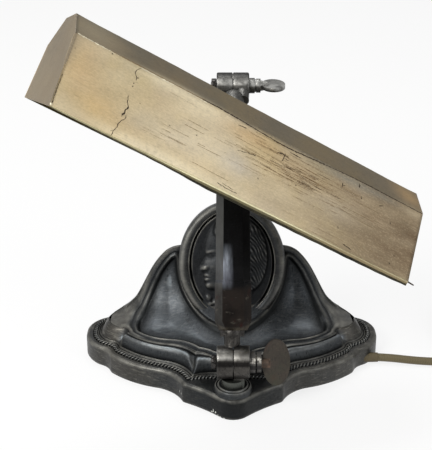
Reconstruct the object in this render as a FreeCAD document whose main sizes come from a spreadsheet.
import FreeCAD, Part
import math
import os
import Sketcher
from FreeCAD import Placement, Rotation, Vector

# Piano lamp: a cast base with a mantel, a hinged arm, and a folded brass trough shade.
# Frame: X to the right, Y to the back, Z up. The origin is the middle of the underside.
# Every size is in millimetres and every angle in degrees.

doc = FreeCAD.newDocument("piano_lamp")
sheet = doc.addObject("Spreadsheet::Sheet", "Sizes")
HERE = Placement()
nodes = []
sheet_rows = []


class Size:
    """A number together with the spreadsheet formula that gives it."""

    def __init__(self, number, formula):
        self.number = number
        self.formula = formula

    def _with(self, other, sign, number, swapped=False):
        other_formula = other.formula if isinstance(other, Size) else repr(float(other))
        pair = (other_formula, self.formula) if swapped else (self.formula, other_formula)
        return Size(number, "(%s %s %s)" % (pair[0], sign, pair[1]))

    def __add__(self, other):
        return self._with(other, "+", self.number + float(other))

    def __radd__(self, other):
        return self._with(other, "+", self.number + float(other), True)

    def __sub__(self, other):
        return self._with(other, "-", self.number - float(other))

    def __rsub__(self, other):
        return self._with(other, "-", float(other) - self.number, True)

    def __mul__(self, other):
        return self._with(other, "*", self.number * float(other))

    def __rmul__(self, other):
        return self._with(other, "*", self.number * float(other), True)

    def __truediv__(self, other):
        return self._with(other, "/", self.number / float(other))

    def __neg__(self):
        return Size(-self.number, "(0 - %s)" % self.formula)

    def __float__(self):
        return float(self.number)


def size(alias, number, meaning):
    """Writes one driving size into the spreadsheet and returns it."""
    sheet_rows.append(alias)
    row = len(sheet_rows)
    sheet.set("A%d" % row, meaning)
    sheet.set("B%d" % row, str(number))
    sheet.setAlias("B%d" % row, alias)
    return Size(float(number), "Sizes." + alias)


# ---------------------------------------------------------------- driving sizes

# Fits
running_gap = size("running_gap", 0.05, "radial gap of a turning fit")
face_gap = size("face_gap", 0.05, "gap between flat faces that turn on each other")
free_gap = size("free_gap", 0.4, "gap beside a part that swings past")

# Plan outline of the base, right half: a nose, a front lobe and a side lobe between coves
nose_front = size("nose_front", 63.5, "nose tip in front of the origin")
nose_radius = size("nose_radius", 12.0, "radius of the nose tip")
nose_corner_x = size("nose_corner_x", 31.5, "corner between nose and front lobe, sideways")
nose_corner_y = size("nose_corner_y", 43.5, "corner between nose and front lobe, forward")
front_cove_x = size("front_cove_x", 47.0, "end of the cove beside the nose, sideways")
front_cove_y = size("front_cove_y", 27.5, "end of the cove beside the nose, forward")
lobe_corner_x = size("lobe_corner_x", 79.5, "corner between the two lobes, sideways")
lobe_corner_y = size("lobe_corner_y", 8.5, "corner between the two lobes, forward")
side_cove_x = size("side_cove_x", 88.0, "end of the cove between the lobes, sideways")
side_cove_back = size("side_cove_back", 1.5, "end of the cove between the lobes, backward")
half_width = size("half_width", 97.5, "half of the base's width")
widest_back = size("widest_back", 23.0, "where the base is widest, behind the origin")
back_corner_x = size("back_corner_x", 84.0, "end of the straight back edge, sideways")
back_face = size("back_face", 41.5, "back of the base behind the origin")

# Bulge of each edge of the plan outline off its chord, outwards
nose_flank_bulge = size("nose_flank_bulge", -1.0, "bulge beside the nose tip")
nose_cove_bulge = size("nose_cove_bulge", -2.4, "bulge of the cove beside the nose")
front_lobe_bulge = size("front_lobe_bulge", 2.6, "bulge of the front lobe")
side_cove_bulge = size("side_cove_bulge", -1.6, "bulge of the cove between the lobes")
side_lobe_bulge = size("side_lobe_bulge", 3.0, "bulge of the side lobe")
back_lobe_bulge = size("back_lobe_bulge", 4.4, "bulge behind the widest place")

# Heights and bands of the base
skirt_rise = size("skirt_rise", 14.0, "height of the skirt")
skirt_edge_radius = size("skirt_edge_radius", 2.0, "rounding of the skirt's upper edge")
run_nose_x = size("run_nose_x", 11.0, "rope and band behind the boss, sideways")
run_nose_y = size("run_nose_y", 43.5, "rope's and band's own edge behind the boss, forward")
run_nose_bulge = size("run_nose_bulge", 0.6, "bulge of that edge")
rope_inset = size("rope_inset", 6.4, "rope bead behind the skirt's face")
rope_radius = size("rope_radius", 1.9, "radius of the rope bead")
band_inset = size("band_inset", 9.4, "rounded band behind the skirt's face")
deck_nose_x = size("deck_nose_x", 14.0, "deck line beside the post, sideways")
deck_nose_y = size("deck_nose_y", 26.0, "deck line beside the post, forward")
deck_nose_bulge = size("deck_nose_bulge", 2.0, "deck line's bulge in front of the medallion")
deck_corner_x = size("deck_corner_x", 23.5, "deck line at the nose's corner, sideways")
deck_corner_y = size("deck_corner_y", 21.0, "deck line at the nose's corner, forward")
foot_shoulder_x = size("foot_shoulder_x", 43.0, "deck line below the shoulder, sideways")
deck_lobe_x = size("deck_lobe_x", 67.5, "deck line at the lobes' corner, sideways")
deck_lobe_back = size("deck_lobe_back", 3.0, "deck line at the lobes' corner, backward")
deck_side_x = size("deck_side_x", 73.0, "deck line at the side lobe, sideways")
deck_side_back = size("deck_side_back", 10.0, "deck line at the side lobe, backward")
deck_side_inset = size("deck_side_inset", 16.0, "band's width at the side")
deck_back_inset = size("deck_back_inset", 11.0, "band's width at the back corner")
band_step = size("band_step", 2.2, "step at the band's foot above the skirt")
deck_rise = size("deck_rise", 23.5, "height of the deck inside the band")
wall = size("wall", 3.6, "wall of the casting")
felt_thickness = size("felt_thickness", 1.8, "felt pad")
felt_inset = size("felt_inset", 2.6, "rim of the casting round the felt")
felt_ledge = size("felt_ledge", 2.4, "ledge of the casting on the felt's edge")

# Mantel
mantel_top_thickness = size("mantel_top_thickness", 4.0, "thickness of the mantel's crest")
shoulder_x = size("shoulder_x", 39.0, "shoulder of the mantel, sideways")
shoulder_rise = size("shoulder_rise", 69.5, "shoulder of the mantel, upward")
middle_above = size("middle_above", 1.0, "mantel behind the medallion above the shoulders")
waist_drop = size("waist_drop", 7.9, "mantel between shoulder and flank, below the shoulder")
flank_x = size("flank_x", 57.0, "middle of the mantel's flank, sideways")
flank_rise = size("flank_rise", 47.0, "middle of the mantel's flank, upward")
hip_x = size("hip_x", 65.0, "mantel between flank and tail, sideways")
hip_rise = size("hip_rise", 33.2, "mantel between flank and tail, upward")
tail_x = size("tail_x", 76.0, "tail of the mantel's flank, sideways")
foot_middle = size("foot_middle", 25.0, "foot of the mantel's slope in the middle, forward")
foot_shoulder = size("foot_shoulder", 11.0, "foot of the slope below the shoulder, forward")
foot_tail_back = size("foot_tail_back", 14.0, "foot of the slope at its tail, backward")
foot_middle_step = size("foot_middle_step", 2.0, "foot drawn back half way to the shoulder")
foot_waist_step = size("foot_waist_step", 2.0, "foot drawn back between shoulder and flank")
foot_flank_step = size("foot_flank_step", 5.0, "foot drawn back at the flank")
foot_hip_step = size("foot_hip_step", 12.0, "foot drawn back between flank and tail")
panel_depth = size("panel_depth", 2.2, "depth of the recessed panels")
panel_margin = size("panel_margin", 6.5, "rim between panel and crest")
panel_rim = size("panel_rim", 5.5, "rim between panel and band")
slope_bend = size("slope_bend", 8.0, "bend of the mantel's slope in front of its crest")
mantel_root = size("mantel_root", 10.0, "depth of the mantel's root below the deck")
panel_inner_x = size("panel_inner_x", 6.0, "inner end of a panel, sideways")

middle_rise = shoulder_rise + middle_above
waist_rise = shoulder_rise - waist_drop

# Medallion
frame_half_width = size("frame_half_width", 35.5, "half width of the oval frame")
frame_half_rise = size("frame_half_rise", 41.0, "half height of the oval frame")
frame_thickness = size("frame_thickness", 15.0, "thickness of the oval frame")
frame_lean = size("frame_lean", 19.4, "lean of the oval frame")
frame_centre_back = size("frame_centre_back", 26.0, "middle of the frame's face, backward")
frame_centre_rise = size("frame_centre_rise", 62.5, "middle of the frame's face, upward")
frame_root = size("frame_root", 3.0, "depth of the frame's root below the deck")
frame_edge_radius = size("frame_edge_radius", 2.5, "rounding of the frame's outer edge")
plaque_half_width = size("plaque_half_width", 27.6, "half width of the oval plaque")
plaque_half_rise = size("plaque_half_rise", 35.0, "half height of the oval plaque")
plaque_thickness = size("plaque_thickness", 3.2, "thickness of the plaque")
plaque_seat_depth = size("plaque_seat_depth", 4.6, "depth of the seat for the plaque")
plaque_seat_gap = size("plaque_seat_gap", 0.3, "gap round the plaque")

# Boss and post
post_front = size("post_front", 50.0, "axis of the post in front of the origin")
boss_radius = size("boss_radius", 11.0, "radius of the round boss")
boss_rise = size("boss_rise", 17.8, "height of the boss")
boss_ring_radius = size("boss_ring_radius", 9.0, "radius of the ring on the boss")
boss_ring_bead = size("boss_ring_bead", 1.0, "radius of the ring's bead")
post_foot_radius = size("post_foot_radius", 7.4, "radius of the post's foot")
post_stem_radius = size("post_stem_radius", 4.0, "radius of the post's threaded stem")
stem_length = size("stem_length", 13.0, "length of the post's threaded stem")
web_edge = size("web_edge", 0.6, "rim of the foot beside the post's web")
web_depth = size("web_depth", 10.4, "depth of the post's web")
nut_flats = size("nut_flats", 11.6, "width across flats of the post nut")
nut_thickness = size("nut_thickness", 3.6, "thickness of the post nut")
washer_radius = size("washer_radius", 7.0, "radius of the post washer")
washer_thickness = size("washer_thickness", 1.2, "thickness of the post washer")

# Knuckles
lower_knuckle_rise = size("lower_knuckle_rise", 33.6, "lower knuckle's axis above the table")
lower_knuckle_radius = size("lower_knuckle_radius", 10.2, "radius of the lower knuckle's barrel")
upper_knuckle_radius = size("upper_knuckle_radius", 8.2, "radius of the upper knuckle's barrel")
knuckle_width = size("knuckle_width", 20.2, "width of a knuckle over both halves")
knuckle_edge = size("knuckle_edge", 1.0, "rounding of a knuckle's ends")
friction_washer_thickness = size("friction_washer_thickness", 0.6, "washer between the halves")
friction_washer_radius = size("friction_washer_radius", 7.6, "radius of that washer")

# Arm
arm_length = size("arm_length", 171.2, "distance between the two knuckles")
arm_lean = size("arm_lean", 28.9, "lean of the arm from upright")
arm_start = size("arm_start", 19.4, "lower end of the bar from the lower knuckle")
arm_taper = size("arm_taper", 5.5, "length of the tapered lower end")
arm_block_end = size("arm_block_end", 48.4, "upper end of the wide block")
arm_block_step = size("arm_block_step", 2.0, "length of the step above the block")
arm_top_gap = size("arm_top_gap", 17.5, "upper end of the bar below the upper knuckle")
arm_top_taper = size("arm_top_taper", 7.0, "length of the tapered upper end")
arm_end_width = size("arm_end_width", 17.4, "width of the bar's lower end")
arm_block_width = size("arm_block_width", 22.4, "width of the block")
arm_bar_width = size("arm_bar_width", 21.4, "width of the bar above the block")
arm_top_width = size("arm_top_width", 20.2, "width of the bar at its top")
arm_tip_width = size("arm_tip_width", 17.6, "width of the bar's upper end")
arm_depth = size("arm_depth", 13.0, "thickness of the block")
arm_bar_depth = size("arm_bar_depth", 10.4, "thickness of the bar above the block")
arm_step_back = size("arm_step_back", 0.7, "bar's middle behind the knuckles' line, above the block")
arm_set_back = size("arm_set_back", 3.0, "bar's middle behind the knuckles' line, at its top")
arm_end_depth = size("arm_end_depth", 11.0, "thickness of the bar's ends")
arm_chamfer = size("arm_chamfer", 4.6, "chamfer of the bar's long edges")
neck_radius = size("neck_radius", 4.9, "radius of the arm's lower neck")
neck_collar_radius = size("neck_collar_radius", 7.6, "radius of the collar on the neck")
neck_collar_width = size("neck_collar_width", 3.6, "width of the collar on the neck")
neck_offset = size("neck_offset", 0.6, "the lower neck stands this far to the left")
upper_neck_radius = size("upper_neck_radius", 4.0, "radius of the upper neck")
upper_neck_offset = size("upper_neck_offset", 5.8, "upper necks stand this far to their own side")
spigot_step = size("spigot_step", 1.6, "spigot's radius below its neck's")
spigot_length = size("spigot_length", 10.0, "length of a neck's spigot in the bar")
spigot_clearance = size("spigot_clearance", 0.5, "room beyond a spigot's end")

# Thumbscrews
screw_radius = size("screw_radius", 2.5, "radius of a thumbscrew's shank")
collar_radius = size("collar_radius", 6.8, "radius of a thumbscrew's collar")
collar_width = size("collar_width", 3.4, "width of the collar")
collar_groove = size("collar_groove", 1.0, "width of the groove behind the collar")
collar_groove_radius = size("collar_groove_radius", 4.0, "radius in the groove")
ring_step = size("ring_step", 0.4, "ring's radius below the collar's")
screw_tip = size("screw_tip", 0.4, "thumbscrew's end outside its nut")
screw_neck_tip = size("screw_neck_tip", 2.4, "neck's radius at the paddle")
ring_width = size("ring_width", 2.6, "width of the ring beside the collar")
screw_neck_radius = size("screw_neck_radius", 3.4, "radius of the neck before the paddle")
screw_neck_length = size("screw_neck_length", 4.6, "length of the neck before the paddle")
paddle_half_width = size("paddle_half_width", 8.6, "half width of the oval paddle")
paddle_half_rise = size("paddle_half_rise", 14.4, "half height of the oval paddle")
paddle_thickness = size("paddle_thickness", 2.4, "thickness of the paddle")
paddle_overlap = size("paddle_overlap", 4.0, "paddle over the neck")
lower_paddle_angle = size("lower_paddle_angle", 72.0, "lower paddle's turn from level")
upper_paddle_angle = size("upper_paddle_angle", -4.0, "upper paddle's turn from level")
upper_paddle_half_rise = size("upper_paddle_half_rise", 12.0, "half height of the upper paddle")
upper_paddle_half_width = size("upper_paddle_half_width", 7.4, "half width of the upper paddle")
upper_collar_radius = size("upper_collar_radius", 4.8, "radius of the upper collar")
screw_nut_radius = size("screw_nut_radius", 4.5, "radius of the round nut on a thumbscrew")
screw_nut_width = size("screw_nut_width", 3.2, "width of that nut")

# Shade bracket and swivel
bracket_length = size("bracket_length", 37.1, "upper knuckle's axis to the shade's back chamfer")
swivel_elevation = size("swivel_elevation", 19.4, "rise of the swivel axis towards the knuckle")
hub_radius = size("hub_radius", 6.8, "radius of the dome hub")
hub_flange_radius = size("hub_flange_radius", 9.2, "radius of the hub's flange")
hub_flange_thickness = size("hub_flange_thickness", 3.0, "thickness of the hub's flange")
hub_dome_distance = size("hub_dome_distance", 15.0, "middle of the dome from the knuckle's axis")
stud_radius = size("stud_radius", 3.0, "radius of the swivel stud")
stud_tip = size("stud_tip", 1.2, "stud's end outside its nut")
stud_in_hub = size("stud_in_hub", 9.0, "depth of the stud in the hub")
swivel_nut_flats = size("swivel_nut_flats", 9.0, "width across flats of the swivel nut")
swivel_nut_thickness = size("swivel_nut_thickness", 3.0, "thickness of the swivel nut")
spring_washer_radius = size("spring_washer_radius", 6.0, "radius of the swivel washer")
spring_washer_thickness = size("spring_washer_thickness", 1.0, "thickness of the swivel washer")
plate_thickness = size("plate_thickness", 1.2, "thickness of the stiffening plate")
plate_length = size("plate_length", 34.0, "length of the stiffening plate along the shade")
plate_width = size("plate_width", 15.0, "width of the stiffening plate")

# Shade section: from the front lower edge over the folds to the back lower edge
shade_length = size("shade_length", 240.0, "length of the shade")
shade_turn = size("shade_turn", 33.7, "turn of the shade about its swivel")
chamfer_tilt = size("chamfer_tilt", 39.0, "swivel axis above the mouth's own plane")
sheet_thickness = size("sheet_thickness", 0.9, "brass sheet")
fold_radius = size("fold_radius", 2.0, "outer radius of a fold")
front_fold_back = size("front_fold_back", 18.1, "front fold, backward")
front_fold_rise = size("front_fold_rise", 41.8, "front fold above the mouth")
crown_front_back = size("crown_front_back", 35.5, "front edge of the crown, backward")
crown_front_rise = size("crown_front_rise", 52.8, "front edge of the crown above the mouth")
crown_rear_back = size("crown_rear_back", 53.58, "rear edge of the crown, backward")
crown_rear_rise = size("crown_rear_rise", 49.65, "rear edge of the crown above the mouth")
chamfer_width = size("chamfer_width", 22.64, "chamfer between the crown and the back fold")
mouth_width = size("mouth_width", 63.8, "width of the mouth")

back_fold_back = crown_rear_back + chamfer_width * math.sin(math.radians(float(chamfer_tilt)))
back_fold_rise = crown_rear_rise - chamfer_width * math.cos(math.radians(float(chamfer_tilt)))

# Lampholder and lamp
holder_back = size("holder_back", 36.0, "lampholder's axis, backward from the front edge")
holder_rise = size("holder_rise", 26.0, "lampholder's axis above the mouth")
holder_start = size("holder_start", 8.0, "lampholder's strap from the end cap")
strap_thickness = size("strap_thickness", 1.6, "thickness of the lampholder's strap")
strap_width = size("strap_width", 14.0, "width of the lampholder's strap")
strap_foot = size("strap_foot", 9.4, "strap's end below the lampholder's axis")
holder_radius = size("holder_radius", 15.6, "outer radius of the lampholder")
holder_wall = size("holder_wall", 0.6, "brass shell of the lampholder")
liner_base = size("liner_base", 12.0, "solid end of the liner")
contact_radius = size("contact_radius", 3.0, "centre contact")
contact_length = size("contact_length", 2.5, "length of the centre contact")
cap_radius = size("cap_radius", 13.0, "radius of the lamp's screw cap")
cap_length = size("cap_length", 26.0, "length of the lamp's screw cap")
bulb_radius = size("bulb_radius", 14.0, "radius of the tubular glass")
bulb_length = size("bulb_length", 112.0, "length of the tubular glass")
bulb_glass_wall = size("bulb_glass_wall", 0.7, "wall of the glass")
filament_radius = size("filament_radius", 1.2, "radius of the filament coil")
filament_length = size("filament_length", 80.0, "length of the filament")
mount_radius = size("mount_radius", 3.5, "radius of the glass stem inside the lamp")
mount_length = size("mount_length", 18.0, "length of the glass stem inside the lamp")
key_radius = size("key_radius", 1.6, "radius of the switch key's shaft")
key_depth = size("key_depth", 6.0, "switch key's shaft inside the lampholder")
key_reach = size("key_reach", 3.0, "switch key's shaft outside the lampholder")
key_from_end = size("key_from_end", 8.0, "switch key from the lampholder's closed end")
key_half_width = size("key_half_width", 4.5, "half width of the switch key's grip")
key_grip_rise = size("key_grip_rise", 5.0, "height of the switch key's grip")
key_thickness = size("key_thickness", 1.8, "thickness of the switch key's grip")

# Cord
cord_radius = size("cord_radius", 2.65, "radius of the cord")
relief_end_inset = size("relief_end_inset", 0.5, "strain relief's outer end inside the widest place")
cord_exit_front = size("cord_exit_front", -4.6, "cord's exit in front of the origin")
cord_exit_rise = size("cord_exit_rise", 3.9, "cord's exit above the table")
relief_length = size("relief_length", 22.0, "length of the strain relief")
relief_radius = size("relief_radius", 3.7, "thick end of the strain relief")
relief_tip = size("relief_tip", 3.1, "thin end of the strain relief")
coil_radius = size("coil_radius", 30.5, "middle radius of the coil")
coil_beyond_base = size("coil_beyond_base", 88.5, "middle of the coil beyond the base's side")
coil_entry_y = size("coil_entry_y", -1.0, "where the cord meets the coil, backward")
tail_length = size("tail_length", 36.0, "cord between coil and plug")
coil_columns = size("coil_columns", 5, "turns of the coil side by side")
coil_layers = size("coil_layers", 2, "turns of the coil on each other")
plug_length = size("plug_length", 30.0, "length of the plug")
plug_width = size("plug_width", 26.0, "width of the plug")
plug_rise = size("plug_rise", 20.0, "height of the plug")
plug_edge = size("plug_edge", 4.0, "rounding of the plug")
blade_length = size("blade_length", 17.0, "length of a plug blade")
blade_width = size("blade_width", 6.3, "width of a plug blade")
blade_thickness = size("blade_thickness", 1.5, "thickness of a plug blade")
blade_spacing = size("blade_spacing", 12.7, "distance between the blades")
cord_exit_x = half_width - relief_end_inset
coil_x = half_width + coil_beyond_base

doc.recompute()

# ---------------------------------------------------------------- helpers

# Side of the plain blocks that trim a shape; more than the whole base.
BEYOND = 300.0
# Two surfaces that cross or join run this far into each other.
OVERLAP = 0.4
TURN_TO = {
    "X": Rotation(Vector(0, 1, 0), 90),
    "Y": Rotation(Vector(1, 0, 0), -90),
    "Z": Rotation(),
}


def turned(axis, degrees):
    """A placement that only turns about one axis."""
    return Placement(Vector(0, 0, 0), Rotation(axis, float(degrees)))


def moved(x, y, z):
    """A placement that only moves."""
    return Placement(Vector(float(x), float(y), float(z)), Rotation())


def placed(item, frame, at, axis="Z"):
    """Puts an item at a point of a frame, with its own Z along the named axis."""
    spot = Vector(float(at[0]), float(at[1]), float(at[2]))
    item.Placement = frame.multiply(Placement(spot, TURN_TO[axis]))
    return item


def bound(item, **sizes):
    """Ties an item's properties to the spreadsheet."""
    for name, value in sizes.items():
        item.setExpression(name, value.formula)
    return item


def cylinder(name, radius, height, frame, at, axis="Z"):
    item = bound(doc.addObject("Part::Cylinder", name), Radius=radius, Height=height)
    return placed(item, frame, at, axis)


def cone(name, radius_start, radius_end, height, frame, at, axis="Z"):
    item = doc.addObject("Part::Cone", name)
    bound(item, Radius1=radius_start, Radius2=radius_end, Height=height)
    return placed(item, frame, at, axis)


def box(name, length, width, height, frame, at):
    """A box with its middle at a point in X and Y, and its bottom there in Z."""
    item = bound(doc.addObject("Part::Box", name), Length=length, Width=width, Height=height)
    corner = (float(at[0]) - float(length) / 2, float(at[1]) - float(width) / 2, at[2])
    return placed(item, frame, corner)


def sphere(name, radius, frame, at):
    return placed(bound(doc.addObject("Part::Sphere", name), Radius=radius), frame, at)


def hexagon(name, flats, height, frame, at, axis="Z"):
    item = doc.addObject("Part::Prism", name)
    item.Polygon = 6
    bound(item, Circumradius=flats / math.sqrt(3), Height=height)
    return placed(item, frame, at, axis)


def fuse(name, items):
    item = doc.addObject("Part::MultiFuse", name)
    item.Shapes = items
    item.Refine = True
    return item


def cut(name, base, tools):
    item = doc.addObject("Part::Cut", name)
    item.Base = base
    item.Tool = tools[0] if len(tools) == 1 else fuse(name + "_tools", tools)
    item.Refine = True
    return item


def rounded(name, base, radius, wanted):
    """Rounds the edges of a base that the wanted() test picks."""
    doc.recompute()
    item = doc.addObject("Part::Fillet", name)
    item.Base = base
    picks = [n + 1 for n, edge in enumerate(base.Shape.Edges) if wanted(edge)]
    item.Edges = [(n, float(radius), float(radius)) for n in picks]
    return item


def plain(name, shape):
    """A Part::Feature for a shape that is built from curves."""
    item = doc.addObject("Part::Feature", name)
    item.Shape = shape
    return item


def node(label, item):
    """Names one finished piece."""
    item.Label = label
    nodes.append(item)
    return item


def prism(wire, direction):
    return Part.Face(wire).extrude(direction)


# ---------------------------------------------------------------- frames

ORIGIN_POST = moved(0, -post_front, 0)
LOWER_KNUCKLE = moved(0, -post_front, lower_knuckle_rise)
ARM = LOWER_KNUCKLE.multiply(turned(Vector(1, 0, 0), -arm_lean))
UPPER_KNUCKLE = ARM.multiply(moved(0, 0, arm_length))
# The bracket's own Y runs along the swivel axis, from the shade back to the knuckle.
KNUCKLE_SPOT = Placement(UPPER_KNUCKLE.Base, Rotation())
BRACKET = KNUCKLE_SPOT.multiply(turned(Vector(1, 0, 0), swivel_elevation))
SHADE = BRACKET.multiply(turned(Vector(0, 1, 0), shade_turn))
# The section's own Y runs from the front lower edge to the back, its Z up from the mouth.
stud_back = (crown_rear_back + back_fold_back) / 2
stud_rise = (crown_rear_rise + back_fold_rise) / 2
SECTION = SHADE.multiply(moved(0, -bracket_length, 0))
SECTION = SECTION.multiply(turned(Vector(1, 0, 0), -chamfer_tilt))
SECTION = SECTION.multiply(moved(0, -stud_back, -stud_rise))
FRAME_FACE = moved(0, frame_centre_back, frame_centre_rise)
FRAME_FACE = FRAME_FACE.multiply(turned(Vector(1, 0, 0), 90 - float(frame_lean)))


# ---------------------------------------------------------------- base casting

ROUNDING_STEPS = 4
# Half angle of the nose tip's arc.
NOSE_ANGLE = 41.0


def arc(start, middle, end):
    return Part.Arc(start, middle, end).toShape()


def line(start, end):
    return Part.LineSegment(start, end).toShape()


def bulged(start, end, rise):
    """An arc whose middle stands off its chord by rise, to the right of its direction."""
    chord = end - start
    side = Vector(chord.y, -chord.x, 0).normalize()
    return arc(start, (start + end) / 2 + side * float(rise), end)


def skirt_corners():
    """Right half of the skirt: nose end, the corners and coves, and the back corner."""
    half_angle = math.radians(NOSE_ANGLE)
    nose_x = float(nose_radius) * math.sin(half_angle)
    nose_y = float(nose_radius) * (1 - math.cos(half_angle)) - float(nose_front)
    return [
        Vector(nose_x, nose_y, 0),
        Vector(float(nose_corner_x), -float(nose_corner_y), 0),
        Vector(float(front_cove_x), -float(front_cove_y), 0),
        Vector(float(lobe_corner_x), -float(lobe_corner_y), 0),
        Vector(float(side_cove_x), float(side_cove_back), 0),
        Vector(float(half_width), float(widest_back), 0),
        Vector(float(back_corner_x), float(back_face), 0),
    ]


def inset_corners(corners, inset):
    """The corners moved inwards; the back stays where it is."""
    result = []
    last = len(corners) - 1
    for n, corner in enumerate(corners):
        before = corners[n - 1] if n > 0 else Vector(-corner.x, corner.y, 0)
        after = corners[n + 1] if n < last else corner
        along = (after - before).normalize()
        inward = Vector(-1, 0, 0) if n == last else Vector(-along.y, along.x, 0)
        result.append(corner + inward * float(inset))
    return result


def outline(corners, nose, rise):
    """The closed outline through the corners of the right half and their mirror images."""
    right = [Vector(p.x, p.y, float(rise)) for p in corners]
    left = [Vector(-p.x, p.y, float(rise)) for p in corners]
    bulges = [nose_flank_bulge, nose_cove_bulge, front_lobe_bulge, side_cove_bulge,
              side_lobe_bulge, back_lobe_bulge]
    edges = [arc(left[0], Vector(0, -float(nose), float(rise)), right[0])]
    for n, bulge in enumerate(bulges):
        edges.append(bulged(right[n], right[n + 1], bulge))
    edges.append(line(right[-1], left[-1]))
    for n, bulge in reversed(list(enumerate(bulges))):
        edges.append(bulged(left[n + 1], left[n], bulge))
    return Part.Wire(edges)


def inset_outline(inset, rise):
    """The skirt's outline, moved inwards by inset; the back edge stays."""
    corners = inset_corners(skirt_corners(), inset)
    return outline(corners, float(nose_front) - float(inset), rise)


def block_behind(y):
    """A block behind an upright plane across the base."""
    return Part.makeBox(BEYOND, BEYOND, BEYOND, Vector(-BEYOND / 2, float(y), -BEYOND / 2))


def run_corners(inset):
    """Corners of a line that follows the skirt but crosses the nose behind the boss."""
    corners = inset_corners(skirt_corners(), inset)
    behind_boss = float(inset) + float(run_nose_bulge) - float(run_nose_y)
    corners[0] = Vector(float(run_nose_x), behind_boss, 0)
    return corners


def run_outline(inset, rise):
    """The outline through those corners."""
    return outline(run_corners(inset), run_nose_y - inset, rise)


def hollow(inset, low, high):
    """An upright slab inside the skirt between two heights, inset at the back too."""
    wire = inset_outline(inset, low)
    slab = prism(wire, Vector(0, 0, float(high) - float(low)))
    return slab.cut(block_behind(back_face - inset))


def skirt():
    """The skirt with its rounded upper edge."""
    radius = float(skirt_edge_radius)
    wires = [inset_outline(0.0, 0.0)]
    for step in range(ROUNDING_STEPS + 1):
        angle = math.radians(90.0 * step / ROUNDING_STEPS)
        rise = float(skirt_rise) - radius + radius * math.sin(angle)
        wires.append(inset_outline(radius * (1 - math.cos(angle)), rise))
    return Part.makeLoft(wires, True, True)


def deck_corners():
    """Right half of the line where the rounded band meets the deck."""
    return [
        Vector(float(deck_nose_x), -float(deck_nose_y), 0),
        Vector(float(deck_corner_x), -float(deck_corner_y), 0),
        Vector(float(foot_shoulder_x), -float(foot_shoulder), 0),
        Vector(float(deck_lobe_x), float(deck_lobe_back), 0),
        Vector(float(deck_side_x), float(deck_side_back), 0),
        Vector(float(half_width) - float(deck_side_inset), float(widest_back), 0),
        Vector(float(back_corner_x) - float(deck_back_inset), float(back_face), 0),
    ]


def band(low_inset=0.0, drop=0.0):
    """The rounded band: a quarter round from the skirt's top to the deck."""
    foot = run_corners(float(band_inset) + low_inset)
    crest = inset_corners(deck_corners(), low_inset)
    foot_nose = float(run_nose_y) - float(band_inset) - low_inset
    crest_nose = float(deck_nose_y) + float(deck_nose_bulge) - low_inset
    low = float(skirt_rise) - OVERLAP - drop
    high = float(deck_rise) - drop
    wires = [outline(foot, foot_nose, low)]
    for step in range(ROUNDING_STEPS + 1):
        angle = math.radians(90.0 * step / ROUNDING_STEPS)
        share = 1 - math.cos(angle)
        corners = [a + (b - a) * share for a, b in zip(foot, crest)]
        nose = foot_nose + (crest_nose - foot_nose) * share
        start = float(skirt_rise) + float(band_step) - drop
        wires.append(outline(corners, nose, start + (high - start) * math.sin(angle)))
    return Part.makeLoft(wires, True, True)


# Place of the mantel's third station as a share of the way to the shoulder.
BEFORE_SHOULDER = 0.77
# The mantel's hollow ends this many stations from its middle, before the tail.
HOLLOW_STATIONS = 6


def mantel_stations():
    """Sideways place, crest height and forward foot of the mantel's slope."""
    shoulder = float(shoulder_x)
    flank = float(flank_x)
    foot = float(foot_shoulder)
    middle_foot = float(foot_middle)
    return [
        (0.0, float(middle_rise), middle_foot),
        (shoulder / 2, float(middle_rise), middle_foot - float(foot_middle_step)),
        (shoulder * BEFORE_SHOULDER, float(middle_rise), (middle_foot + foot) / 2),
        (shoulder, float(shoulder_rise), foot),
        ((shoulder + flank) / 2, float(waist_rise), foot - float(foot_waist_step)),
        (flank, float(flank_rise), foot - float(foot_flank_step)),
        (float(hip_x), float(hip_rise), foot - float(foot_hip_step)),
        (float(tail_x), float(deck_rise), -float(foot_tail_back)),
    ]


def mantel_section(x, crest, foot, shrink, sink):
    """One upright section of the mantel, its hollow slope sunk and its back and top shrunk."""
    back = float(back_face) - shrink
    crest_front = float(back_face) - float(mantel_top_thickness)
    low = float(deck_rise) - float(mantel_root)
    deck = float(deck_rise) - OVERLAP - sink
    top = Vector(x, min(crest_front + sink, back - OVERLAP), crest - shrink)
    bend = Vector(x, crest_front - float(slope_bend) + sink, deck)
    lower = Vector(x, -foot + sink, deck)
    slope = Part.BezierCurve()
    slope.setPoles([top, bend, lower])
    corners = [lower, Vector(x, lower.y, low), Vector(x, back, low), Vector(x, back, top.z), top]
    sides = [line(start, end) for start, end in zip(corners, corners[1:])]
    return Part.Wire([slope.toShape()] + sides)


def mantel(shrink=0.0, sink=0.0, stations=None):
    """The mantel between its two tails, as one loft."""
    half = mantel_stations()[:stations]
    left = [(-x, crest, foot) for x, crest, foot in reversed(half[1:])]
    wires = [mantel_section(x, crest, foot, shrink, sink) for x, crest, foot in left + half]
    return Part.makeLoft(wires, True, True)


def oval(half_x, half_y, frame, depth, start=0.0):
    """An upright oval disc in a frame, from start to start + depth along the frame's Z."""
    big = max(float(half_x), float(half_y))
    small = min(float(half_x), float(half_y))
    ellipse = Part.Ellipse(Vector(0, 0, float(start)), big, small)
    wire = Part.Wire([ellipse.toShape()])
    if float(half_y) > float(half_x):
        wire.rotate(Vector(0, 0, 0), Vector(0, 0, 1), 90)
    disc = prism(wire, Vector(0, 0, float(depth)))
    disc.Placement = frame.multiply(disc.Placement)
    return disc


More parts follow.
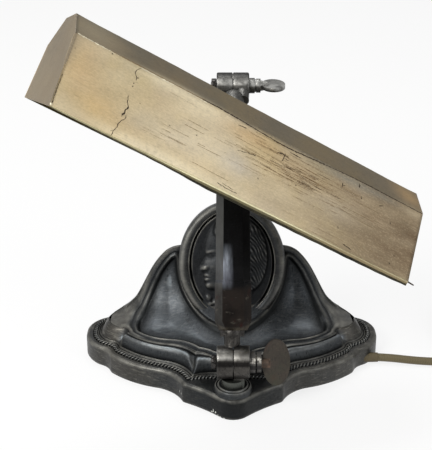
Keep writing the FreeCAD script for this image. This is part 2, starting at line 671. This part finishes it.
def rope_bead():
    """The plain bead that carries the twist of the rope: a ridge between two quarter rounds."""
    radius = float(rope_radius)
    middle = float(rope_inset)
    base_level = float(skirt_rise)
    outer = [run_outline(middle - radius, base_level - OVERLAP)]
    inner = []
    for step in range(ROUNDING_STEPS + 1):
        angle = math.radians(90.0 * step / ROUNDING_STEPS)
        rise = base_level + radius * math.sin(angle)
        outer.append(run_outline(middle - radius * math.cos(angle), rise))
        inner.append(run_outline(middle + radius * math.cos(angle), rise))
    inner.append(run_outline(middle, base_level + 2 * radius))
    return Part.makeLoft(outer, True, True).cut(Part.makeLoft(inner, True, True))


def front_edges(disc):
    """The edges of an oval disc that lie on its front face."""
    facing = FRAME_FACE.Rotation.multVec(Vector(0, 0, 1))
    front = max(edge.CenterOfMass.dot(facing) for edge in disc.Edges)
    return [edge for edge in disc.Edges if edge.CenterOfMass.dot(facing) > front - OVERLAP]


def panel_tool(side):
    """The room of one recessed panel: inside its rim in plan and in elevation, above its floor."""
    inner = float(panel_inner_x)
    floor = float(deck_rise) - float(panel_depth)
    rim_line = inset_corners(deck_corners(), panel_rim)[:5]
    plan = [Vector(side * p.x, p.y, floor) for p in rim_line]
    plan.append(Vector(side * rim_line[-1].x, float(back_face), floor))
    plan.append(Vector(side * inner, float(back_face), floor))
    plan.append(Vector(side * inner, rim_line[0].y, floor))
    crest = [Vector(x, rise, 0) for x, rise, foot in mantel_stations()]
    crest_line = inset_corners(crest, -panel_margin)[1:-1]
    front = [Vector(side * p.x, -BEYOND, p.y) for p in crest_line]
    front.append(Vector(side * crest_line[-1].x, -BEYOND, 0.0))
    front.append(Vector(side * inner, -BEYOND, 0.0))
    front.append(Vector(side * inner, -BEYOND, crest_line[0].y))
    body = prism(Part.makePolygon(plan + [plan[0]]), Vector(0, 0, BEYOND))
    body = body.common(prism(Part.makePolygon(front + [front[0]]), Vector(0, 2 * BEYOND, 0)))
    return body.cut(mantel(0.0, float(panel_depth)))


def base_casting():
    """The whole casting: outside first, then its hollow, then the frame and the boss."""
    shape = skirt().fuse([band(), mantel(), rope_bead()])
    shape = shape.cut([panel_tool(1), panel_tool(-1)])
    felt_space = hollow(felt_inset, -OVERLAP, felt_thickness)
    low_space = hollow(felt_inset + felt_ledge, 0.0, float(skirt_rise) - float(wall))
    band_space = band(float(wall), float(wall)).cut(block_behind(back_face - wall))
    mantel_space = mantel(float(wall), float(wall) + float(panel_depth), HOLLOW_STATIONS)
    shape = shape.cut([felt_space, low_space, band_space, mantel_space])
    slab = oval(frame_half_width, frame_half_rise, FRAME_FACE, -float(frame_thickness))
    slab = slab.makeFillet(float(frame_edge_radius), front_edges(slab))
    root = float(deck_rise) - float(frame_root) - BEYOND
    below = Part.makeBox(BEYOND, BEYOND, BEYOND, Vector(-BEYOND / 2, -BEYOND / 2, root))
    post_at = Vector(0, -float(post_front), float(skirt_rise) - float(wall))
    boss_height = float(boss_rise) - float(skirt_rise) + float(wall)
    boss = Part.makeCylinder(float(boss_radius), boss_height, post_at)
    ring = Part.makeTorus(float(boss_ring_radius), float(boss_ring_bead))
    ring.translate(Vector(0, -float(post_front), float(boss_rise)))
    shape = shape.fuse([slab.cut([block_behind(back_face), below]), boss, ring])
    seat_x = float(plaque_half_width) + float(plaque_seat_gap)
    seat_y = float(plaque_half_rise) + float(plaque_seat_gap)
    seat = oval(seat_x, seat_y, FRAME_FACE, -float(plaque_seat_depth))
    stem_hole = Part.makeCylinder(float(post_stem_radius + running_gap), 2 * boss_height,
                                  post_at - Vector(0, 0, boss_height / 2))
    shape = shape.cut([seat, stem_hole, relief_cone(running_gap)])
    return shape.removeSplitter()


def relief_cone(gap=0.0):
    """The strain relief's taper, or the hole for it when a gap is given."""
    start = Vector(float(cord_exit_x - relief_length), -float(cord_exit_front), float(cord_exit_rise))
    thick = float(relief_radius) + float(gap)
    thin = float(relief_tip) + float(gap)
    return Part.makeCone(thick, thin, float(relief_length), start, Vector(1, 0, 0))


node("base_casting", plain("base_casting", base_casting()))
felt = hollow(felt_inset, 0.0, felt_thickness).cut(relief_cone(running_gap))
node("felt_pad", plain("felt_pad", felt))
plaque_shape = oval(plaque_half_width, plaque_half_rise, FRAME_FACE,
                    float(plaque_thickness), -float(plaque_seat_depth))
node("medallion_plaque", plain("medallion_plaque", plaque_shape))
node("strain_relief", plain("strain_relief", relief_cone()))


# ---------------------------------------------------------------- rings made as bodies

def plane(body, role):
    """One of a body's own origin planes."""
    return next(item for item in body.Origin.OriginFeatures if item.Role == role)


def ring_body(label, outer, inner, thickness, frame, at, axis="Z"):
    """A washer or round nut: two circles in a sketch, padded."""
    body = doc.addObject("PartDesign::Body", label)
    sketch = body.newObject("Sketcher::SketchObject", label + "_sketch")
    sketch.AttachmentSupport = [(plane(body, "XY_Plane"), "")]
    sketch.MapMode = "FlatFace"
    for n, radius in enumerate([outer, inner]):
        circle = Part.Circle(Vector(0, 0, 0), Vector(0, 0, 1), float(radius))
        sketch.addGeometry(circle, False)
        sketch.addConstraint(Sketcher.Constraint("Coincident", n, 3, -1, 1))
        index = sketch.addConstraint(Sketcher.Constraint("Radius", n, float(radius)))
        sketch.setExpression("Constraints[%d]" % index, radius.formula)
    pad = body.newObject("PartDesign::Pad", label + "_pad")
    pad.Profile = sketch
    bound(pad, Length=thickness)
    placed(body, frame, at, axis)
    return node(label, body)


# ---------------------------------------------------------------- knuckles

half_gap = friction_washer_thickness / 2 + face_gap
half_barrel = knuckle_width / 2 - half_gap
bore_radius = screw_radius + running_gap


def barrel(name, frame, side, radius):
    """One half of a knuckle's barrel, left (-1) or right (1), with its outer edge rounded."""
    start = half_gap if side > 0 else -(half_gap + half_barrel)
    item = cylinder(name, radius, half_barrel, frame, (start, 0, 0), "X")
    middle = frame.Base.x
    reach = float(knuckle_width) / 2 - OVERLAP
    outer = lambda edge: side * (edge.CenterOfMass.x - middle) > reach
    return rounded(name + "_rounded", item, knuckle_edge, outer)


def screw_bore(name, frame):
    start = -knuckle_width
    return cylinder(name, bore_radius, knuckle_width * 2, frame, (start, 0, 0), "X")


def other_half_sweep(name, frame, side, radius):
    """The room that the other half of the barrel turns in; side is where that half stands."""
    start = -half_gap if side > 0 else half_gap - knuckle_width
    return cylinder(name, radius + free_gap, knuckle_width, frame, (start, 0, 0), "X")


# ---------------------------------------------------------------- post

foot_height = lower_knuckle_rise - lower_knuckle_radius - free_gap - boss_rise
web_width = post_foot_radius - half_gap - web_edge
post_parts = [
    cylinder("post_foot", post_foot_radius, foot_height, ORIGIN_POST, (0, 0, boss_rise)),
    cylinder("post_stem", post_stem_radius, stem_length, ORIGIN_POST, (0, 0, boss_rise - stem_length)),
    box("post_web", web_width, web_depth, lower_knuckle_rise - boss_rise,
        ORIGIN_POST, (half_gap + web_width / 2, 0, boss_rise)),
    barrel("post_barrel", LOWER_KNUCKLE, 1, lower_knuckle_radius),
]
post = cut("post", fuse("post_body", post_parts), [screw_bore("post_bore", LOWER_KNUCKLE)])
node("post", post)
washer_top = skirt_rise - wall
ring_body("post_washer", washer_radius, post_stem_radius + running_gap, washer_thickness,
          ORIGIN_POST, (0, 0, washer_top - washer_thickness))
nut_at = (0, 0, washer_top - washer_thickness - nut_thickness)
post_nut = cut("post_nut", hexagon("post_nut_body", nut_flats, nut_thickness, ORIGIN_POST, nut_at),
               [cylinder("post_nut_bore", post_stem_radius + running_gap, nut_thickness,
                         ORIGIN_POST, nut_at)])
node("post_nut", post_nut)


# ---------------------------------------------------------------- arm

def eye(label, frame, radius, neck, offset, toward, length, collars=()):
    """A knuckle's left half with its neck along the arm and a spigot into the bar."""
    low = 0.0 if toward > 0 else -length
    spigot = neck - spigot_step
    spigot_low = length if toward > 0 else -(length + spigot_length)
    parts = [
        barrel(label + "_barrel", frame, -1, radius),
        cylinder(label + "_neck", neck, length, frame, (-offset, 0, low)),
        cylinder(label + "_spigot", spigot, spigot_length, frame, (-offset, 0, spigot_low)),
    ]
    for n, distance in enumerate(collars):
        at = (-offset, 0, distance)
        parts.append(cylinder("%s_collar_%d" % (label, n), neck_collar_radius, neck_collar_width,
                              frame, at))
    tools = [
        screw_bore(label + "_bore", frame),
        other_half_sweep(label + "_sweep", frame, 1, radius),
    ]
    return node(label, cut(label, fuse(label + "_body", parts), tools))


eye("lower_eye", ARM, lower_knuckle_radius, neck_radius, neck_offset, 1, arm_start,
    [arm_start - neck_collar_width])
eye("upper_eye", UPPER_KNUCKLE, upper_knuckle_radius, upper_neck_radius, upper_neck_offset, -1,
    arm_top_gap)


def octagon(width, depth, rise, back=0.0):
    """A bar's section with chamfered corners, in the arm's frame."""
    half_x = float(width) / 2
    half_y = float(depth) / 2
    chamfer = float(arm_chamfer)
    back = float(back)
    points = []
    for sx, sy in [(1, -1), (1, 1), (-1, 1), (-1, -1)]:
        near_side = Vector(sx * half_x, back + sy * (half_y - chamfer), float(rise))
        near_face = Vector(sx * (half_x - chamfer), back + sy * half_y, float(rise))
        points += [near_face, near_side] if sx * sy < 0 else [near_side, near_face]
    return Part.makePolygon(points + [points[0]])


def arm_casting():
    top = arm_length - arm_top_gap
    sections = [
        octagon(arm_end_width, arm_end_depth, arm_start),
        octagon(arm_block_width, arm_depth, arm_start + arm_taper),
        octagon(arm_block_width, arm_depth, arm_block_end),
        octagon(arm_bar_width, arm_bar_depth, arm_block_end + arm_block_step, arm_step_back),
        octagon(arm_top_width, arm_bar_depth, top - arm_top_taper, arm_set_back),
        octagon(arm_tip_width, arm_end_depth, top, arm_set_back),
    ]
    shape = Part.makeLoft(sections, True, True)
    depth = float(spigot_length + spigot_clearance)
    low = Part.makeCylinder(float(neck_radius - spigot_step + running_gap), depth,
                            Vector(-float(neck_offset), 0, float(arm_start)))
    high = Part.makeCylinder(float(upper_neck_radius - spigot_step + running_gap), depth,
                             Vector(-float(upper_neck_offset), 0, float(top) - depth))
    return shape.cut([low, high])


arm = plain("arm_casting", arm_casting())
arm.Placement = ARM
node("arm_casting", arm)

washer_at = (-friction_washer_thickness / 2, 0, 0)
ring_body("lower_friction_washer", friction_washer_radius, bore_radius, friction_washer_thickness,
          ARM, washer_at, "X")
ring_body("upper_friction_washer", friction_washer_radius, bore_radius, friction_washer_thickness,
          UPPER_KNUCKLE, washer_at, "X")


# ---------------------------------------------------------------- thumbscrews

def thumbscrew(label, frame, collar, half_paddle, half_rise, angle):
    """Shank, collar, groove, ring, neck and oval paddle, with the round nut at the far end."""
    side = knuckle_width / 2 + face_gap
    tail = side + screw_nut_width + screw_tip
    ring_at = side + collar_width + collar_groove
    neck_at = ring_at + ring_width
    paddle_at = neck_at + screw_neck_length + half_paddle - paddle_overlap
    oval_outline = doc.addObject("Part::Ellipse", label + "_oval")
    bound(oval_outline, MajorRadius=half_rise, MinorRadius=half_paddle)
    paddle = doc.addObject("Part::Extrusion", label + "_paddle")
    paddle.Base = oval_outline
    paddle.Dir = Vector(0, 0, 1)
    paddle.Solid = True
    bound(paddle, LengthFwd=paddle_thickness / 2, LengthRev=paddle_thickness / 2)
    upright = Rotation(Vector(0, 0, 1), 90)
    tilt = turned(Vector(1, 0, 0), angle)
    spot = frame.multiply(moved(paddle_at, 0, 0)).multiply(tilt)
    paddle.Placement = spot.multiply(Placement(Vector(0, 0, 0), upright))
    parts = [
        cylinder(label + "_shank", screw_radius, side + tail, frame, (-tail, 0, 0), "X"),
        cylinder(label + "_collar", collar, collar_width, frame, (side, 0, 0), "X"),
        cylinder(label + "_groove", collar_groove_radius, collar_groove, frame,
                 (side + collar_width, 0, 0), "X"),
        cylinder(label + "_ring", collar - ring_step, ring_width, frame, (ring_at, 0, 0), "X"),
        cone(label + "_neck", screw_neck_radius, screw_neck_tip, screw_neck_length,
             frame, (neck_at, 0, 0), "X"),
        paddle,
    ]
    node(label, fuse(label, parts))
    ring_body(label.replace("thumbscrew", "screw_nut"), screw_nut_radius, bore_radius,
              screw_nut_width, frame, (-side - screw_nut_width, 0, 0), "X")


thumbscrew("lower_thumbscrew", LOWER_KNUCKLE, collar_radius, paddle_half_width,
           paddle_half_rise, lower_paddle_angle)
thumbscrew("upper_thumbscrew", KNUCKLE_SPOT, upper_collar_radius, upper_paddle_half_width,
           upper_paddle_half_rise, upper_paddle_angle)


# ---------------------------------------------------------------- shade bracket

flange_at = bracket_length - face_gap - hub_flange_thickness
hub_parts = [
    barrel("bracket_barrel", BRACKET, 1, upper_knuckle_radius),
    cylinder("bracket_neck", upper_neck_radius, hub_dome_distance, BRACKET,
             (upper_neck_offset, -hub_dome_distance, 0), "Y"),
    sphere("bracket_dome", hub_radius, BRACKET, (0, -hub_dome_distance, 0)),
    cylinder("bracket_hub", hub_radius, flange_at - hub_dome_distance, BRACKET,
             (0, -flange_at, 0), "Y"),
    cylinder("bracket_flange", hub_flange_radius, hub_flange_thickness, BRACKET,
             (0, -(flange_at + hub_flange_thickness), 0), "Y"),
]
hub_tools = [
    screw_bore("bracket_bore", BRACKET),
    other_half_sweep("bracket_sweep", BRACKET, -1, upper_knuckle_radius),
    cylinder("bracket_socket", stud_radius + running_gap, stud_in_hub + hub_flange_thickness,
             BRACKET, (0, -bracket_length, 0), "Y"),
]
node("bracket_eye", cut("bracket_eye", fuse("bracket_body", hub_parts), hub_tools))
washer_face = bracket_length + sheet_thickness + plate_thickness + face_gap
nut_face = washer_face + spring_washer_thickness
stud_end = nut_face + swivel_nut_thickness + stud_tip
stud_start = bracket_length - stud_in_hub
node("swivel_stud", cylinder("swivel_stud", stud_radius, stud_end - stud_start, BRACKET,
                             (0, -stud_end, 0), "Y"))
ring_body("swivel_spring_washer", spring_washer_radius, stud_radius + running_gap,
          spring_washer_thickness, BRACKET, (0, -nut_face, 0), "Y")
swivel_nut_at = (0, -(nut_face + swivel_nut_thickness), 0)
swivel_nut = cut("swivel_nut", hexagon("swivel_nut_body", swivel_nut_flats, swivel_nut_thickness,
                                       BRACKET, swivel_nut_at, "Y"),
                 [cylinder("swivel_nut_bore", stud_radius + running_gap, swivel_nut_thickness,
                           BRACKET, swivel_nut_at, "Y")])
node("swivel_nut", swivel_nut)


# ---------------------------------------------------------------- shade

def section_points():
    """The outside of the folded sheet: front edge, four folds and back edge."""
    pairs = [
        (0.0, 0.0),
        (front_fold_back, front_fold_rise),
        (crown_front_back, crown_front_rise),
        (crown_rear_back, crown_rear_rise),
        (back_fold_back, back_fold_rise),
        (mouth_width, 0.0),
    ]
    return [Vector(0, float(back), float(rise)) for back, rise in pairs]


def inner_points(depth):
    """The same section moved inwards by depth, still open at the mouth."""
    outer = section_points()
    lines = []
    for start, end in zip(outer, outer[1:]):
        along = (end - start).normalize()
        inward = Vector(0, along.z, -along.y) * depth
        lines.append((start + inward, along))
    result = [lines[0][0] - lines[0][1] * (lines[0][0].z / lines[0][1].z)]
    for (a, along_a), (b, along_b) in zip(lines, lines[1:]):
        cross = along_a.y * along_b.z - along_a.z * along_b.y
        reach = ((b.y - a.y) * along_b.z - (b.z - a.z) * along_b.y) / cross
        result.append(a + along_a * reach)
    last, along = lines[-1]
    result.append(last - along * (last.z / along.z))
    return result


def folded_prism(points, radius, start, length):
    """A prism with the section's shape along X, its four folds rounded."""
    corners = [Vector(start, p.y, p.z) for p in points]
    body = prism(Part.makePolygon(corners + [corners[0]]), Vector(length, 0, 0))
    middle = start + length / 2
    long_edges = [e for e in body.Edges if abs(e.CenterOfMass.x - middle) < OVERLAP]
    folds = [e for e in long_edges if e.CenterOfMass.z > OVERLAP]
    return body.makeFillet(radius, folds)


half_shade = float(shade_length) / 2
sheet_depth = float(sheet_thickness)
fold_inside = float(fold_radius - sheet_thickness)


def hollow_prism(start, length):
    """A slice of the room inside the folded sheet."""
    return folded_prism(inner_points(sheet_depth), fold_inside, start, length)


def in_section(label, shape):
    """Places a shape that was made in the shade's section frame."""
    shape.Placement = SECTION.multiply(shape.Placement)
    return node(label, plain(label, shape))


def stud_hole():
    """The hole for the swivel stud, in the section frame."""
    tilt = math.radians(float(chamfer_tilt))
    axis = Vector(0, math.cos(tilt), math.sin(tilt))
    middle = Vector(0, float(stud_back), float(stud_rise))
    radius = float(stud_radius + running_gap)
    length = float(stud_in_hub) * 2
    return Part.makeCylinder(radius, length, middle - axis * (length / 2), axis)


shell = folded_prism(section_points(), float(fold_radius), -half_shade, 2 * half_shade)
shell = shell.cut([hollow_prism(-half_shade - OVERLAP, 2 * (half_shade + OVERLAP)), stud_hole()])
in_section("shade_shell", shell)
in_section("end_cap_left", hollow_prism(-half_shade, sheet_depth))
in_section("end_cap_right", hollow_prism(half_shade - sheet_depth, sheet_depth))

plate = box("plate_blank", plate_length, plate_thickness, plate_width, SHADE,
            (0, -(bracket_length + sheet_thickness) - plate_thickness / 2, -plate_width / 2))
plate_bore = cylinder("plate_bore", stud_radius + running_gap, plate_thickness * 3, SHADE,
                      (0, -(washer_face + plate_thickness), 0), "Y")
node("stiffening_plate", cut("stiffening_plate", plate, [plate_bore]))


# ---------------------------------------------------------------- lampholder and lamp

holder_length = liner_base + contact_length + cap_length
strap_x = sheet_thickness + holder_start - shade_length / 2
holder_x = strap_x + strap_thickness
liner_radius = holder_radius - holder_wall
cap_x = holder_x + liner_base + contact_length
glass_x = holder_x + holder_length
HOLDER = SECTION.multiply(moved(0, holder_back, holder_rise))

strap_blank = Part.makeBox(float(strap_thickness), float(strap_width), float(crown_front_rise),
                           Vector(float(strap_x), float(holder_back - strap_width / 2),
                                  float(holder_rise - strap_foot)))
in_section("socket_strap", strap_blank.common(hollow_prism(-half_shade, 2 * half_shade)))
key_x = holder_x + key_from_end


def key_bore(name):
    """The hole for the switch key's shaft, up into the solid end of the liner."""
    return cylinder(name, key_radius + running_gap, key_depth + free_gap, HOLDER,
                    (key_x, 0, -holder_radius))


shell_tube = cut("socket_shell", cylinder("socket_shell_body", holder_radius, holder_length, HOLDER,
                                          (holder_x, 0, 0), "X"),
                 [cylinder("socket_shell_bore", liner_radius, holder_length, HOLDER,
                           (holder_x + holder_wall, 0, 0), "X"),
                  key_bore("shell_key_bore")])
node("socket_shell", shell_tube)
liner = cut("socket_insulator", cylinder("socket_insulator_body", liner_radius,
                                         holder_length - holder_wall, HOLDER,
                                         (holder_x + holder_wall, 0, 0), "X"),
            [cylinder("socket_insulator_bore", cap_radius + running_gap, holder_length, HOLDER,
                      (holder_x + liner_base, 0, 0), "X"),
             key_bore("liner_key_bore")])
node("socket_insulator", liner)
node("socket_contact", cylinder("socket_contact", contact_radius, contact_length, HOLDER,
                                (holder_x + liner_base, 0, 0), "X"))
node("bulb_cap", cylinder("bulb_cap", cap_radius, cap_length, HOLDER, (cap_x, 0, 0), "X"))


def glass(label, radius, start, end):
    """A tube with one round end, from start to end along the lampholder's axis."""
    tube = cylinder(label + "_tube", radius, end - radius - start, HOLDER, (start, 0, 0), "X")
    tip = sphere(label + "_tip", radius, HOLDER, (end - radius, 0, 0))
    return fuse(label, [tube, tip])


glass_end = glass_x + bulb_length
glass_outside = glass("glass_outside", bulb_radius, glass_x, glass_end)
glass_inside = glass("glass_inside", bulb_radius - bulb_glass_wall, glass_x + bulb_glass_wall,
                     glass_end - bulb_glass_wall)
node("bulb_glass", cut("bulb_glass", glass_outside, [glass_inside]))
stem_x = glass_x + bulb_glass_wall
node("lamp_stem", cylinder("lamp_stem", mount_radius, mount_length, HOLDER, (stem_x, 0, 0), "X"))
node("filament", cylinder("filament", filament_radius, filament_length, HOLDER,
                          (stem_x + mount_length, 0, 0), "X"))

grip_low = holder_radius + key_reach + key_grip_rise
key_parts = [
    cylinder("key_shaft", key_radius, key_depth + key_reach + key_grip_rise / 4, HOLDER,
             (key_x, 0, -(holder_radius + key_reach + key_grip_rise / 4))),
    box("key_grip", key_half_width * 2, key_thickness, key_grip_rise, HOLDER, (key_x, 0, -grip_low)),
]
node("switch_key", fuse("switch_key", key_parts))


# ---------------------------------------------------------------- cord, coil and plug

# Share of the shorter run beside a corner that its arc takes up.
ARC_SHARE = 0.45


def free_tube(label, points):
    """A round tube along straight runs joined by tangent arcs; prints its radii."""
    edges = []
    start = points[0]
    for before, corner, after in zip(points, points[1:], points[2:]):
        back = before - corner
        ahead = after - corner
        half_turn = (math.pi - back.getAngle(ahead)) / 2
        shorter = min(back.Length, ahead.Length)
        reach = ARC_SHARE * shorter
        radius = reach / math.tan(half_turn)
        first = corner + back.normalize() * reach
        last = corner + ahead.normalize() * reach
        bisector = ((first + last) / 2 - corner).normalize()
        centre = corner + bisector * (radius / math.cos(half_turn))
        edges += [line(start, first), arc(first, centre - bisector * radius, last)]
        start = last
        print("%s: arc radius %.1f mm" % (label, radius))
    edges.append(line(start, points[-1]))
    path = Part.Wire(edges)
    along = points[1] - points[0]
    ring = Part.Wire([Part.Circle(points[0], along, float(cord_radius)).toShape()])
    tube = path.makePipeShell([ring], True, False)
    expected = math.pi * float(cord_radius) ** 2 * path.Length
    print("%s: length %.1f mm, volume ratio %.4f" % (label, path.Length, tube.Volume / expected))
    return node(label, plain(label, tube))


table_level = cord_radius + face_gap
coil_outer = coil_radius + coil_columns * cord_radius
coil_inner = coil_radius - coil_columns * cord_radius
coil_rise = coil_layers * cord_radius * 2
last_turn = float(coil_outer - cord_radius)
exit_y = -float(cord_exit_front)
coil_y = float(coil_entry_y) + last_turn
cord_points = [
    Vector(float(cord_exit_x), exit_y, float(cord_exit_rise)),
    Vector(float(cord_exit_x) + 9.0, exit_y - 0.5, float(cord_exit_rise) - 0.2),
    Vector(float(cord_exit_x) + 20.0, exit_y - 1.9, float(table_level) + 0.3),
    Vector(float(cord_exit_x) + 33.0, exit_y - 3.5, float(table_level)),
    Vector(float(coil_x) - 30.0, float(coil_entry_y) + 0.9, float(table_level)),
    Vector(float(coil_x), float(coil_entry_y), float(table_level)),
]
free_tube("cord", cord_points)
coil_at = (coil_x, coil_y, 0)
node("cord_coil", cut("cord_coil", cylinder("coil_outside", coil_outer, coil_rise, HERE, coil_at),
                      [cylinder("coil_inside", coil_inner, coil_rise, HERE, coil_at)]))
tail_x_place = float(coil_x) + last_turn - float(cord_radius)
tail_level = float(coil_rise - cord_radius)
plug_face_y = coil_y + float(tail_length)
tail_points = [
    Vector(tail_x_place, coil_y, tail_level),
    Vector(tail_x_place + 0.6, coil_y + float(tail_length) / 3, tail_level + 0.4),
    Vector(tail_x_place + 0.4, coil_y + float(tail_length) * 2 / 3, tail_level + 1.4),
    Vector(tail_x_place, plug_face_y, float(plug_rise) / 2),
]
free_tube("cord_tail", tail_points)
PLUG = moved(tail_x_place, plug_face_y, 0)
plug_blank = box("plug_blank", plug_width, plug_length, plug_rise, PLUG, (0, plug_length / 2, 0))
node("plug_body", rounded("plug_body", plug_blank, plug_edge, lambda edge: True))
for name, side in [("plug_blade_left", -1), ("plug_blade_right", 1)]:
    spot = (side * blade_spacing / 2, plug_length + blade_length / 2, plug_rise / 2 - blade_width / 2)
    node(name, box(name, blade_thickness, blade_length, blade_width, PLUG, spot))


# ---------------------------------------------------------------- checks and export

doc.recompute()
for item in doc.Objects:
    if "Invalid" in item.State or "Error" in item.State:
        raise RuntimeError("%s failed: %s" % (item.Name, item.State))
for item in nodes:
    if item.Shape.isNull() or not item.Shape.isValid():
        raise RuntimeError("%s has no valid shape" % item.Label)
os.makedirs("parts", exist_ok=True)
for item in nodes:
    item.Shape.exportStep(os.path.join("parts", item.Label + ".step"))
print("%d pieces written" % len(nodes))
